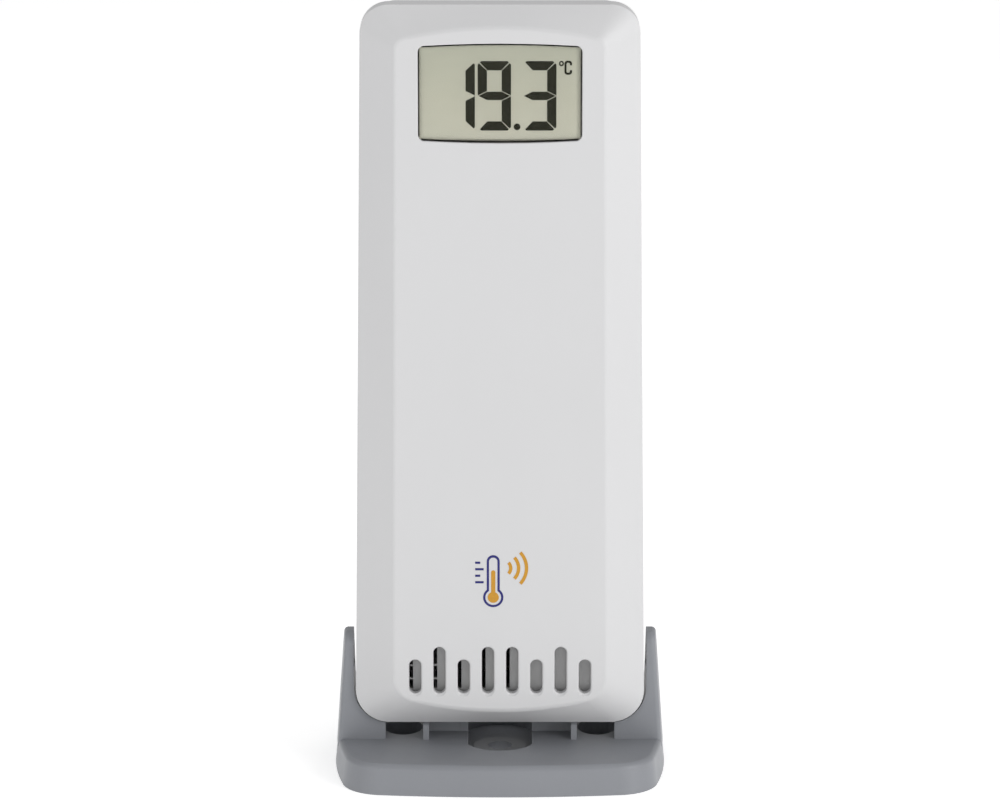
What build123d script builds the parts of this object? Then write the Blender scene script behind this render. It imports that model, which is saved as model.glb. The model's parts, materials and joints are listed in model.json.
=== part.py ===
"""Remote weather sensor: a white two-shell transmitter with a small display, standing in a grey stand.

Millimetres, +Z up, front of the sensor towards -Y. The origin is the centre of the stand's footprint,
on the surface that it stands on. The sensor lifts straight out of the stand.
"""

import os
from math import radians, tan

from build123d import *

# ---- sensor housing ------------------------------------------------------------------------------
HOUSING_LOW, HOUSING_HIGH = 9.1, 139.1  # bottom and top of the sensor
HALF_WIDTH_LOW, HALF_WIDTH_HIGH = 25.9, 24.25  # the sides lean in a little towards the top
CORNER_LOW, CORNER_HIGH = 6.0, 5.0  # outline corner radii
PANEL_Y, EDGE_Y, SPLIT_Y, BACK_Y = -12.0, -8.0, -4.0, 12.0  # front panel, bevel's foot, parting, back
WALL = 1.8
PANEL_HALF_LOW, PANEL_HALF_HIGH = 18.95, 18.15  # half width of the raised front panel
PANEL_LOW_CORNER, PANEL_LOW_MIDDLE = 15.3, 12.4  # its bowed bottom edge
PANEL_HIGH_CORNER, PANEL_HIGH_MIDDLE = 133.4, 135.8  # its bowed top edge
PANEL_CORNER_LOW, PANEL_CORNER_HIGH = 4.5, 2.0
PANEL_ROUND = 1.1  # rounding between panel and bevel
REAR_STEP, REAR_DRAFT, REAR_ROUND = 0.8, 1.4, 2.4  # rear shell: set in, further set in at the back
GROOVE = 0.8  # gasket groove in the rear shell's parting face

# ---- display -------------------------------------------------------------------------------------
WINDOW_Z = 124.2
WINDOW_HALF_WIDTH = 14.2
WINDOW_HALF_HEIGHT, WINDOW_BOW = 8.25, 0.45  # half height at the corners, and the extra at mid-width
WINDOW_CORNER = 1.1
WINDOW_GAP = 0.12
LENS_FRONT_Y, LENS_BACK_Y = -11.85, -11.2
LCD_FRONT_Y, LCD_BACK_Y = -11.15, -9.55
LCD_HALF_WIDTH, LCD_LOW, LCD_HIGH = 15.0, 115.0, 132.6
FRAME_HALF_WIDTH, FRAME_LOW, FRAME_HIGH = 16.1, 114.0, 133.2
FRAME_FRONT_Y, FRAME_BACK_Y = -9.9, -7.4
SEGMENT_DEPTH = 0.05

# ---- digits on the display -----------------------------------------------------------------------
DIGIT_LOW, DIGIT_HIGH, DIGIT_WIDTH, STROKE = 117.6, 129.75, 5.75, 1.6
STROKE_GAP = 0.07  # half of the light line between two strokes
STROKE_CUT = 0.6  # how much of a digit's outer corner is cut off
DIGITS = {-10.1: "bc", -3.85: "abcdfg", 4.0: "abcdg"}  # left edge of each digit: its lit strokes

DECIMAL_POINT_X, DEGREE_X, LETTER_X = 2.95, 10.6, 11.78

# ---- vent slots ----------------------------------------------------------------------------------
SLOT_COUNT, SLOT_PITCH, SLOT_WIDTH = 8, 4.32, 2.14
SLOT_LOW, SLOT_SHORT, SLOT_TALL = 15.6, 6.35, 8.7
TALL_SLOTS = (1, 3, 4, 6)
OPEN_SLOTS = (0, 1, 2, 3, 4)  # the baffle leaves a gap at the left of these
BAFFLE_FRONT_Y, BAFFLE_BACK_Y, BAFFLE_TOP = -9.7, -8.7, 26.0
BAFFLE_RIBS = (17.6, 20.1)  # heights of the small ribs across the gaps
SCOOP_RADIUS, SCOOP_OUT = 1.6, 1.05  # a shallow dish at the bottom of each slot

# ---- circuit board -------------------------------------------------------------------------------
BOARD_FRONT_Y, BOARD_BACK_Y = -6.5, -5.3
BOARD_HALF_WIDTH, BOARD_LOW, BOARD_HIGH = 20.3, 33.0, 134.2
TONGUE_HALF_WIDTH, TONGUE_LOW = 6.0, 25.4
BOARD_SCREWS = [(-18.5, 40.0), (18.5, 40.0), (-18.5, 110.0), (18.5, 110.0)]  # x, z
BOARD_SCREW_RADIUS, BOARD_SCREW_HEAD = 0.85, 1.6
ANTENNA_X, ANTENNA_LOW, ANTENNA_HIGH, ANTENNA_RISE = 14.3, 46.0, 106.0, 1.6
SMD_PLACES = [(-9, 104, 0), (-5.5, 104, 0), (-2, 104, 0), (8, 104, 0), (-9, 93, 1), (-9, 97, 1),
              (-3, 84, 0), (1, 84, 0), (5, 84, 0), (-3, 76, 0), (1, 76, 1), (4, 76, 1), (9, 62, 1),
              (9, 57, 1), (-13, 66, 1), (-13, 61, 1), (0, 44, 0), (-4, 44, 0), (-4, 29, 1), (4, 29, 1)]
HOUSING_SCREWS = [(-17.2, 29.2), (17.2, 29.2)]
HOUSING_SCREW_RADIUS, HOUSING_SCREW_HEAD, HOUSING_SCREW_SEAT_Y = 1.15, 2.2, 2.0

# ---- battery bay ---------------------------------------------------------------------------------
CELL_RADIUS, CELL_LENGTH, CELL_X, CELL_Y = 7.0, 50.5, 7.4, 3.1
BAY_HALF_WIDTH, BAY_LOW, BAY_HIGH = 15.0, 41.4, 97.0
BAY_WALL, BAY_FLOOR_Y = 1.3, -4.0
LEDGE_LOW, LEDGE_HIGH, LEDGE_Y = 98.3, 107.2, 5.1  # the shelf above the cells, with the two controls
CONTACT_THICKNESS, SPRING_LENGTH = 0.4, 4.0
CONTROL_Z, BUTTON_X, KNOB_X = 102.7, -6.0, 6.0
KNOB_TRAVEL, KNOB_HALF_WIDTH, KNOB_HALF_HEIGHT = 2.0, 1.0, 0.9
BUTTON_RADIUS, BUTTON_TRAVEL = 1.85, 0.4
SWITCH_TOP_Y, BUTTON_TOP_Y, KNOB_TOP_Y = -2.2, 6.6, 6.9
TAIL_HALF_WIDTH = 0.8
KEYHOLE_Z, KEYHOLE_RADIUS, KEYHOLE_NECK, KEYHOLE_RISE = 119.3, 3.2, 1.7, 5.6

# ---- battery door --------------------------------------------------------------------------------
DOOR_HALF_WIDTH, DOOR_LOW, DOOR_HIGH, DOOR_CORNER = 16.9, 33.8, 109.4, 2.5
DOOR_INNER_Y, SEAT_Y = 10.3, 9.7
DOOR_GAP = 0.2
DOOR_SCREW_Z, DOOR_SCREW_RADIUS, DOOR_SCREW_HEAD = 37.3, 1.0, 2.1
GRIP_COUNT, GRIP_LOW, GRIP_PITCH, GRIP_HALF_WIDTH = 5, 96.0, 2.2, 8.0
SEAL_LOW, SEAL_HIGH, SEAL_HALF_WIDTH, SEAL_WIDTH = 40.2, 108.6, 16.3, 0.9

# ---- stand ---------------------------------------------------------------------------------------
STAND_HALF_WIDTH, STAND_HALF_DEPTH = 29.8, 23.1
STAND_SIDE_BOW, STAND_FRONT_BOW, STAND_CORNER = 3.2, 1.9, 7.6
STAND_DRAFT = 3.9
DECK_Z, DECK_ROUND = 5.55, 1.0
ARM_TOP, ARM_FRONT_Y, ARM_TOP_BACK_Y, ARM_FOOT_BACK_Y = 25.5, -7.0, -2.6, 9.5
ARM_FRONT_ROUND, ARM_BACK_ROUND, ARM_EDGE_ROUND = 2.0, 1.0, 0.8
CRADLE_HALF_WIDTH, CRADLE_CORNER, CRADLE_FLOOR = 26.25, 6.5, 8.65
GUSSET_X = 20.6
SEAT_FRONT_Z, SEAT_REAR_Z = HOUSING_LOW - 0.1, HOUSING_LOW + 0.6
RIB_X, RIB_THICKNESS, RIB_FRONT_Y, RIB_BACK_Y = 13.3, 1.05, -7.5, 9.0
BLOCK_FRONT_Y = -2.4
POCKET_HALF_WIDTH, POCKET_FRONT_Y, POCKET_CORNER_Y = 5.76, 13.6, 9.9
FLOOR_THICKNESS = 1.5
WELL_X, WELL_RX, WELL_RY = 17.5, 3.5, 4.5
STAND_WALL = 1.8
SCREW_HOLE_RADIUS, SCREW_BOSS_RADIUS, SCREW_BOSS_Z = 2.2, 4.8, 2.1
WELL_HOLE_RADIUS = 2.1
NUB_Z, NUB_RADIUS, NUB_PROUD = 19.4, 0.6, 0.15


def front_plane(y):
    """A plane facing the front at depth y, with X across and Z up as its own two axes."""
    return Plane.XZ.offset(-y)


def save(piece, name):
    """Labels a finished piece and writes it to its own file."""
    piece.label = name
    export_step(piece, f"parts/{name}.step")


def housing_outline(y, inset):
    """The sensor's outline at depth y, set in from the widest one."""
    with BuildSketch(front_plane(y)) as outline:
        with BuildLine():
            low, high = HALF_WIDTH_LOW - inset, HALF_WIDTH_HIGH - inset
            bottom, top = HOUSING_LOW + inset, HOUSING_HIGH - inset
            Polyline((-low, bottom), (low, bottom), (high, top), (-high, top), close=True)
        make_face()
        rows = outline.vertices().group_by(Axis.Y)
        fillet(rows[0], CORNER_LOW - 0.6 * inset)
        rows = outline.vertices().group_by(Axis.Y)
        fillet(rows[-1], CORNER_HIGH - 0.6 * inset)
    return outline.sketch


def panel_outline(y, inset):
    """The raised front panel's outline at depth y: bowed at the top and bottom."""
    with BuildSketch(front_plane(y)) as outline:
        with BuildLine():
            low, high = PANEL_HALF_LOW - inset, PANEL_HALF_HIGH - inset
            low_z, low_mid = PANEL_LOW_CORNER + inset, PANEL_LOW_MIDDLE + inset
            high_z, high_mid = PANEL_HIGH_CORNER - inset, PANEL_HIGH_MIDDLE - inset
            ThreePointArc((-low, low_z), (0, low_mid), (low, low_z))
            Line((low, low_z), (high, high_z))
            ThreePointArc((high, high_z), (0, high_mid), (-high, high_z))
            Line((-high, high_z), (-low, low_z))
        make_face()
        rows = outline.vertices().sort_by(Axis.Y)
        fillet(rows[:2], PANEL_CORNER_LOW)
        rows = outline.vertices().sort_by(Axis.Y)
        fillet(rows[-2:], PANEL_CORNER_HIGH)
    return outline.sketch


def window_outline(y, grow):
    """The display window's barrel shape at depth y, grown by some margin all round."""
    with BuildSketch(front_plane(y)) as outline:
        with BuildLine():
            x, z = WINDOW_HALF_WIDTH + grow, WINDOW_HALF_HEIGHT + grow
            low, high, bow = WINDOW_Z - z, WINDOW_Z + z, WINDOW_BOW
            ThreePointArc((-x, low), (0, low - bow), (x, low))
            Line((x, low), (x, high))
            ThreePointArc((x, high), (0, high + bow), (-x, high))
            Line((-x, high), (-x, low))
        make_face()
        fillet(outline.vertices(), max(WINDOW_CORNER + grow, 0.3))
    return outline.sketch


def box_between(x_low, x_high, y_low, y_high, z_low, z_high, mode=Mode.ADD):
    """A box given by its two extremes on each axis."""
    with Locations(((x_low + x_high) / 2, (y_low + y_high) / 2, (z_low + z_high) / 2)):
        return Box(x_high - x_low, y_high - y_low, z_high - z_low, mode=mode)


def rod(x, z, radius, y_low, y_high, mode=Mode.ADD):
    """A round rod along Y."""
    with BuildSketch(front_plane(y_high)) as disc:
        with Locations((x, z)):
            Circle(radius)
    return extrude(disc.sketch, amount=y_high - y_low, mode=mode)


def slot_places():
    """Centre x, index and height of each vent slot."""
    first = -SLOT_PITCH * (SLOT_COUNT - 1) / 2
    heights = [SLOT_TALL if i in TALL_SLOTS else SLOT_SHORT for i in range(SLOT_COUNT)]
    return [(first + i * SLOT_PITCH, i, heights[i]) for i in range(SLOT_COUNT)]


os.makedirs("parts", exist_ok=True)

# ==================================================================================================
# Front shell: bevelled white shell with the display window and the vent slots
# ==================================================================================================
with BuildPart() as front_shell:
    loft([housing_outline(EDGE_Y, 0), panel_outline(PANEL_Y, 0)], ruled=True)
    fillet(front_shell.faces().sort_by(Axis.Y)[0].edges(), PANEL_ROUND)
    extrude(housing_outline(SPLIT_Y, 0), amount=SPLIT_Y - EDGE_Y)
    # The hollow follows the outside at one wall's thickness.
    hollow = [housing_outline(EDGE_Y + 1.0, WALL), panel_outline(PANEL_Y + WALL, 0.5)]
    loft(hollow, ruled=True, mode=Mode.SUBTRACT)
    extrude(housing_outline(SPLIT_Y, WALL), amount=SPLIT_Y - EDGE_Y - 1.0, mode=Mode.SUBTRACT)
    # Standoffs for the circuit board and bosses for the housing screws, with blind pilot holes.
    for x, z in BOARD_SCREWS:
        rod(x, z, 2.0, PANEL_Y + WALL, BOARD_FRONT_Y)
    for x, z in HOUSING_SCREWS:
        rod(x, z, 2.6, PANEL_Y + WALL, SPLIT_Y)
    for x, z in BOARD_SCREWS:
        rod(x, z, 0.9, PANEL_Y + WALL + 0.2, BOARD_FRONT_Y, mode=Mode.SUBTRACT)
    for x, z in HOUSING_SCREWS:
        rod(x, z, 1.3, PANEL_Y + WALL + 0.2, SPLIT_Y, mode=Mode.SUBTRACT)
    extrude(window_outline(LENS_BACK_Y, 0), amount=LENS_BACK_Y - PANEL_Y + 0.1, mode=Mode.SUBTRACT)
    # Behind the window the wall is thinned for the display glass.
    box_between(-LCD_HALF_WIDTH - 0.2, LCD_HALF_WIDTH + 0.2, LENS_BACK_Y, PANEL_Y + WALL + 0.1,
                LCD_LOW - 0.2, LCD_HIGH + 0.2, mode=Mode.SUBTRACT)
    with BuildSketch(front_plane(PANEL_Y + WALL + 0.1)):
        for x, _, height in slot_places():
            with Locations((x, SLOT_LOW + height / 2)):
                SlotOverall(height, SLOT_WIDTH, rotation=90)
    extrude(amount=WALL + 0.2, mode=Mode.SUBTRACT)
    openings = front_shell.faces().sort_by(Axis.Y)[0].inner_wires()
    slot_wires = [w for w in openings if w.bounding_box().size.X < 2 * SLOT_WIDTH]
    window_wires = [w for w in openings if w.bounding_box().size.X > 2 * SLOT_WIDTH]
    fillet([e for w in slot_wires for e in w.edges()], 0.35)
    fillet([e for w in window_wires for e in w.edges()], 0.2)
    for x, _, _ in slot_places():
        with Locations((x, PANEL_Y - SCOOP_OUT, SLOT_LOW + 0.75)):
            Sphere(SCOOP_RADIUS, mode=Mode.SUBTRACT)
save(front_shell.part, "front_shell")

# ==================================================================================================
# Rear shell: set in behind the front shell, with the battery bay and the shelf for the controls
# ==================================================================================================
def door_outline(y, inset):
    """The battery door's outline at depth y."""
    with BuildSketch(front_plane(y)) as outline:
        with Locations((0, (DOOR_LOW + DOOR_HIGH) / 2)):
            width, height = 2 * (DOOR_HALF_WIDTH - inset), DOOR_HIGH - DOOR_LOW - 2 * inset
            RectangleRounded(width, height, DOOR_CORNER - 0.5 * inset)
    return outline.sketch


with BuildPart() as rear_shell:
    loft([housing_outline(BACK_Y, REAR_STEP + REAR_DRAFT), housing_outline(SPLIT_Y, REAR_STEP)], ruled=True)
    fillet(rear_shell.faces().sort_by(Axis.Y)[-1].edges(), REAR_ROUND)
    hollow_back = housing_outline(BACK_Y - WALL, REAR_STEP + REAR_DRAFT + WALL)
    loft([hollow_back, housing_outline(SPLIT_Y, REAR_STEP + WALL + 0.2)], ruled=True, mode=Mode.SUBTRACT)
    # Battery bay tray, the shallower tray of the control shelf above it, and the door's surround.
    bay_outer = BAY_HALF_WIDTH + BAY_WALL
    box_between(-bay_outer, bay_outer, BAY_FLOOR_Y - 1.1, SEAT_Y, BAY_LOW - BAY_WALL, LEDGE_LOW)
    box_between(-bay_outer, bay_outer, LEDGE_Y - 1.1, SEAT_Y, BAY_HIGH, LEDGE_HIGH + BAY_WALL)
    box_between(-DOOR_HALF_WIDTH - 1.2, DOOR_HALF_WIDTH + 1.2, SEAT_Y - 1.4, BACK_Y - WALL,
                DOOR_LOW - 1.2, DOOR_HIGH + 1.2)
    rod(0, DOOR_SCREW_Z, 2.6, 2.0, SEAT_Y)
    # Bosses and recesses for the housing screws.
    for x, z in HOUSING_SCREWS:
        rod(x, z, 3.6, SPLIT_Y + 0.1, BACK_Y - WALL)
    for x, z in HOUSING_SCREWS:
        rod(x, z, 1.35, SPLIT_Y, BACK_Y, mode=Mode.SUBTRACT)
        rod(x, z, 2.5, HOUSING_SCREW_SEAT_Y, BACK_Y, mode=Mode.SUBTRACT)
    # The door's recess, and the hollows under it.
    extrude(door_outline(BACK_Y, 0), amount=BACK_Y - SEAT_Y, mode=Mode.SUBTRACT)
    box_between(-BAY_HALF_WIDTH, BAY_HALF_WIDTH, BAY_FLOOR_Y, BACK_Y, BAY_LOW, BAY_HIGH,
                mode=Mode.SUBTRACT)
    box_between(-BAY_HALF_WIDTH, BAY_HALF_WIDTH, LEDGE_Y, BACK_Y, LEDGE_LOW, LEDGE_HIGH,
                mode=Mode.SUBTRACT)
    # Holes in the shelf for the button and the knob, and in the bay's floor for the contact tails.
    rod(BUTTON_X, CONTROL_Z, BUTTON_RADIUS + 0.2, LEDGE_Y - 1.2, LEDGE_Y, mode=Mode.SUBTRACT)
    knob_slot = KNOB_HALF_WIDTH + KNOB_TRAVEL + 0.3
    box_between(KNOB_X - knob_slot, KNOB_X + knob_slot, LEDGE_Y - 1.2, LEDGE_Y,
                CONTROL_Z - KNOB_HALF_HEIGHT - 0.2, CONTROL_Z + KNOB_HALF_HEIGHT + 0.2, mode=Mode.SUBTRACT)
    for x in (-CELL_X, CELL_X):
        box_between(x - TAIL_HALF_WIDTH - 0.2, x + TAIL_HALF_WIDTH + 0.2, BAY_FLOOR_Y - 1.2, BAY_FLOOR_Y,
                    BAY_HIGH - CONTACT_THICKNESS - 0.2, BAY_HIGH, mode=Mode.SUBTRACT)
    rod(0, DOOR_SCREW_Z, DOOR_SCREW_RADIUS + 0.1, 3.0, SEAT_Y, mode=Mode.SUBTRACT)
    # Keyhole for hanging the sensor on a wall, over a closed pocket.
    box_between(-5.5, 5.5, 7.6, BACK_Y - WALL, 114.5, 129.5)
    box_between(-4.3, 4.3, 8.8, BACK_Y - WALL, 115.7, 128.3, mode=Mode.SUBTRACT)
    rod(0, KEYHOLE_Z, KEYHOLE_RADIUS, BACK_Y - WALL, BACK_Y, mode=Mode.SUBTRACT)
    rod(0, KEYHOLE_Z + KEYHOLE_RISE, KEYHOLE_NECK, BACK_Y - WALL, BACK_Y, mode=Mode.SUBTRACT)
    box_between(-KEYHOLE_NECK, KEYHOLE_NECK, BACK_Y - WALL, BACK_Y, KEYHOLE_Z, KEYHOLE_Z + KEYHOLE_RISE,
                mode=Mode.SUBTRACT)
    # Groove for the gasket in the parting face, and a tongue that locates the top.
    groove_outer = housing_outline(SPLIT_Y + GROOVE, REAR_STEP + 0.55)
    groove_inner = housing_outline(SPLIT_Y + GROOVE, REAR_STEP + 1.35)
    extrude(groove_outer - groove_inner, amount=GROOVE, mode=Mode.SUBTRACT)
    tongue_top = HOUSING_HIGH - REAR_STEP - 1.35 - 0.1
    box_between(-8, 8, SPLIT_Y - 3.0, SPLIT_Y + 1.5, tongue_top - 1.1, tongue_top - 0.1)
save(rear_shell.part, "rear_shell")


# ==================================================================================================
# Stand: a hollow grey foot with two arms, a pocket in the middle and a well at each side
# ==================================================================================================
def foot_outline(z, inset):
    """The stand's bowed footprint at height z."""
    with BuildSketch(Plane.XY.offset(z)) as outline:
        with BuildLine():
            x, y = STAND_HALF_WIDTH - inset, STAND_HALF_DEPTH - inset
            corner_x, corner_y = x - STAND_SIDE_BOW, y - STAND_FRONT_BOW
            ThreePointArc((-corner_x, -corner_y), (0, -y), (corner_x, -corner_y))
            ThreePointArc((corner_x, -corner_y), (x, 0), (corner_x, corner_y))
            ThreePointArc((corner_x, corner_y), (0, y), (-corner_x, corner_y))
            ThreePointArc((-corner_x, corner_y), (-x, 0), (-corner_x, -corner_y))
        make_face()
        fillet(outline.vertices(), STAND_CORNER - 0.4 * inset)
    return outline.sketch


def pocket_outline(z, grow):
    """The middle pocket's outline: straight sides with a bowed front and back."""
    with BuildSketch(Plane.XY.offset(z)) as outline:
        with BuildLine():
            x, corner, front = POCKET_HALF_WIDTH + grow, POCKET_CORNER_Y, POCKET_FRONT_Y + grow
            ThreePointArc((-x, -corner), (0, -front), (x, -corner))
            Line((x, -corner), (x, corner))
            ThreePointArc((x, corner), (0, front), (-x, corner))
            Line((-x, corner), (-x, -corner))
        make_face()
    return outline.sketch


def well_outline(z, grow):
    """Both side wells' outlines."""
    with BuildSketch(Plane.XY.offset(z)) as outline:
        with Locations((-WELL_X, 0), (WELL_X, 0)):
            Ellipse(WELL_RX + grow, WELL_RY + grow)
    return outline.sketch


def cradle_section():
    """The opening between the arms, seen from the front, following the sensor's lower corners."""
    with BuildSketch(front_plane(STAND_HALF_DEPTH)) as outline:
        with Locations((0, CRADLE_FLOOR + ARM_TOP)):
            Rectangle(2 * CRADLE_HALF_WIDTH, 2 * ARM_TOP)
        fillet(outline.vertices().group_by(Axis.Y)[0], CRADLE_CORNER)
    return outline.sketch


def arm_profile():
    """Both arms seen from the side: upright at the front, sloping down at the back."""
    with BuildSketch(Plane.YZ.offset(-STAND_HALF_WIDTH)) as outline:
        with BuildLine():
            Polyline(
                (ARM_FRONT_Y, DECK_Z - 1.5),
                (ARM_FRONT_Y, ARM_TOP),
                (ARM_TOP_BACK_Y, ARM_TOP),
                (ARM_FOOT_BACK_Y, DECK_Z + 1.5),
                (ARM_FOOT_BACK_Y, DECK_Z - 1.5),
                close=True,
            )
        make_face()
        top = outline.vertices().group_by(Axis.Y)[-1].sort_by(Axis.X)
        fillet(top[0], ARM_FRONT_ROUND)
        top = outline.vertices().group_by(Axis.Y)[-1].sort_by(Axis.X)
        fillet(top[-1], ARM_BACK_ROUND)
    return outline.sketch


def seat_profile(x, front):
    """A support under the sensor seen from the side, stepping up behind the front shell's rim."""
    slope = (REAR_DRAFT / (BACK_Y - SPLIT_Y)) * (RIB_BACK_Y - SPLIT_Y)
    with BuildSketch(Plane.YZ.offset(x)) as outline:
        with BuildLine():
            Polyline(
                (front, DECK_Z - 1.0),
                (front + 0.3, SEAT_FRONT_Z - 0.8),
                (max(front + 1.1, EDGE_Y + 0.6), SEAT_FRONT_Z),
                (max(front + 1.2, SPLIT_Y - 0.1), SEAT_FRONT_Z),
                (max(front + 2.0, SPLIT_Y + 0.8), SEAT_REAR_Z),
                (RIB_BACK_Y, SEAT_REAR_Z + slope),
                (RIB_BACK_Y, DECK_Z - 1.0),
                close=True,
            )
        make_face()
    return outline.sketch


with BuildPart() as arms:
    extrude(arm_profile(), amount=2 * STAND_HALF_WIDTH)
    extrude(cradle_section(), amount=2 * STAND_HALF_DEPTH, mode=Mode.SUBTRACT)
    box_between(-GUSSET_X, GUSSET_X, ARM_FRONT_Y, ARM_FOOT_BACK_Y, 0, ARM_TOP, mode=Mode.SUBTRACT)
    lean = tan(radians(STAND_DRAFT)) * ARM_TOP
    loft([foot_outline(0, 0), foot_outline(ARM_TOP, lean)], ruled=True, mode=Mode.INTERSECT)
    front_faces = arms.faces().filter_by(Axis.Y).sort_by(Axis.Y)[:2]
    outer = [e for e in front_faces.edges() if abs(e.center().X) > CRADLE_HALF_WIDTH + 1 and e.length > 8]
    fillet(outer, ARM_EDGE_ROUND)

with BuildPart() as stand:
    loft([foot_outline(0, 0), foot_outline(DECK_Z, 0.55)], ruled=True)
    fillet(stand.faces().sort_by(Axis.Z)[-1].edges(), DECK_ROUND)
    extrude(foot_outline(0, STAND_WALL + 0.4), amount=DECK_Z - STAND_WALL, mode=Mode.SUBTRACT)
    add(arms.part)
    # Two thin ribs and the block between them carry the sensor.
    for x in (-RIB_X, RIB_X):
        extrude(seat_profile(x - RIB_THICKNESS / 2, RIB_FRONT_Y), amount=RIB_THICKNESS)
    extrude(seat_profile(-RIB_X, BLOCK_FRONT_Y), amount=2 * RIB_X)
    box_between(-RIB_X + 1.5, RIB_X - 1.5, BLOCK_FRONT_Y + 1.5, RIB_BACK_Y - 1.5, 0, SEAT_REAR_Z - 1.5,
                mode=Mode.SUBTRACT)
    # The pocket and the wells have walls of their own down to the ground.
    extrude(pocket_outline(0, 1.4), amount=DECK_Z - 0.5)
    with Locations((0, (BLOCK_FRONT_Y + RIB_BACK_Y) / 2, 0)):
        wall_length, wall_height = RIB_BACK_Y - BLOCK_FRONT_Y, SEAT_REAR_Z - 0.5
        Box(2 * POCKET_HALF_WIDTH + 2.8, wall_length, wall_height, align=(Align.CENTER, Align.CENTER, Align.MIN))
    extrude(well_outline(0, 1.2), amount=DECK_Z - 0.5)
    extrude(pocket_outline(FLOOR_THICKNESS, 0), amount=2 * DECK_Z, mode=Mode.SUBTRACT)
    extrude(well_outline(FLOOR_THICKNESS, 0), amount=2 * DECK_Z, mode=Mode.SUBTRACT)
    Cylinder(SCREW_BOSS_RADIUS, SCREW_BOSS_Z, align=(Align.CENTER, Align.CENTER, Align.MIN))
    Cylinder(SCREW_HOLE_RADIUS, 4 * DECK_Z, mode=Mode.SUBTRACT)
    with Locations((-WELL_X, 0), (WELL_X, 0)):
        Cylinder(WELL_HOLE_RADIUS, 4 * DECK_Z, mode=Mode.SUBTRACT)
    # A small nub on each arm, which holds the sensor upright.
    for side in (-1, 1):
        nub_x = side * (CRADLE_HALF_WIDTH - NUB_PROUD + NUB_RADIUS)
        rod(nub_x, NUB_Z, NUB_RADIUS, ARM_FRONT_Y + 0.6, SPLIT_Y - 0.2)
save(stand.part, "stand")

# ==================================================================================================
# Display: lens, glass, strokes, frame and what lies behind them
# ==================================================================================================
with BuildPart() as display_lens:
    extrude(window_outline(LENS_BACK_Y, -WINDOW_GAP), amount=LENS_BACK_Y - LENS_FRONT_Y)
    chamfer(display_lens.faces().sort_by(Axis.Y)[0].edges(), 0.2)
save(display_lens.part, "display_lens")

with BuildPart() as lcd_glass:
    box_between(-LCD_HALF_WIDTH, LCD_HALF_WIDTH, LCD_FRONT_Y, LCD_BACK_Y, LCD_LOW, LCD_HIGH)
    # The front pane is a little shorter than the rear one, which carries the contacts.
    box_between(-LCD_HALF_WIDTH, LCD_HALF_WIDTH, LCD_FRONT_Y, (LCD_FRONT_Y + LCD_BACK_Y) / 2,
                LCD_LOW, LCD_LOW + 1.0, mode=Mode.SUBTRACT)
save(lcd_glass.part, "lcd_glass")


def stroke_corners(name):
    """The corners of one stroke of a digit: ends at 45 degrees, and the digit's outer corners cut off."""
    t, w, h, g, c = STROKE, DIGIT_WIDTH, DIGIT_HIGH - DIGIT_LOW, STROKE_GAP, STROKE_CUT
    m = h / 2
    flat = [(c, h), (w - c, h), (w - c / 2 - g, h - c / 2 + g), (w - t - g, h - t), (t + g, h - t),
            (c / 2 + g, h - c / 2 + g)]
    upright = [(w, h - c), (w - c / 2 + g, h - c / 2 - g), (w - t, h - t - g), (w - t, m + t / 2 + g),
               (w, m + g)]
    middle = [(2 * g, m), (t, m + t / 2 - g), (w - t, m + t / 2 - g), (w - 2 * g, m),
              (w - t, m - t / 2 + g), (t, m - t / 2 + g)]
    shapes = {
        "a": flat,
        "b": upright,
        "c": [(x, h - z) for x, z in upright],
        "d": [(x, h - z) for x, z in flat],
        "f": [(w - x, z) for x, z in upright],
        "g": middle,
    }
    return shapes[name]


with BuildPart() as lcd_segments:
    with BuildSketch(front_plane(LCD_FRONT_Y)) as strokes:
        for left, lit in DIGITS.items():
            for name in lit:
                with BuildLine():
                    points = [(left + x, DIGIT_LOW + z) for x, z in stroke_corners(name)]
                    Polyline(*points, close=True)
                make_face()
        with Locations((DECIMAL_POINT_X, DIGIT_LOW + 0.65)):
            Circle(0.58)
        with Locations((DEGREE_X, DIGIT_HIGH - 0.42)):
            Ellipse(0.42, 0.47)
            Ellipse(0.19, 0.24, mode=Mode.SUBTRACT)
        with Locations((LETTER_X, DIGIT_HIGH - 1.15)):
            RectangleRounded(1.3, 2.45, 0.5)
            RectangleRounded(0.6, 1.75, 0.28, mode=Mode.SUBTRACT)
        with Locations((LETTER_X + 0.45, DIGIT_HIGH - 1.15)):
            Rectangle(0.6, 0.85, mode=Mode.SUBTRACT)
    extrude(amount=SEGMENT_DEPTH)
save(lcd_segments.part, "lcd_segments")

with BuildPart() as lcd_frame:
    with BuildSketch(front_plane(FRAME_BACK_Y)):
        with Locations((0, (FRAME_LOW + FRAME_HIGH) / 2)):
            RectangleRounded(2 * FRAME_HALF_WIDTH, FRAME_HIGH - FRAME_LOW, 1.6)
    extrude(amount=FRAME_BACK_Y - FRAME_FRONT_Y)
    box_between(-LCD_HALF_WIDTH - 0.05, LCD_HALF_WIDTH + 0.05, FRAME_FRONT_Y, LCD_BACK_Y,
                LCD_LOW - 0.05, LCD_HIGH + 0.05, mode=Mode.SUBTRACT)
    box_between(-LCD_HALF_WIDTH + 0.8, LCD_HALF_WIDTH - 0.8, LCD_BACK_Y, FRAME_BACK_Y,
                LCD_LOW + 0.4, LCD_HIGH - 0.8, mode=Mode.SUBTRACT)
save(lcd_frame.part, "lcd_frame")

with BuildPart() as lcd_reflector:
    box_between(-LCD_HALF_WIDTH + 0.9, LCD_HALF_WIDTH - 0.9, LCD_BACK_Y, LCD_BACK_Y + 0.2,
                LCD_LOW + 3.0, LCD_HIGH - 0.9)
save(lcd_reflector.part, "lcd_reflector")

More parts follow.
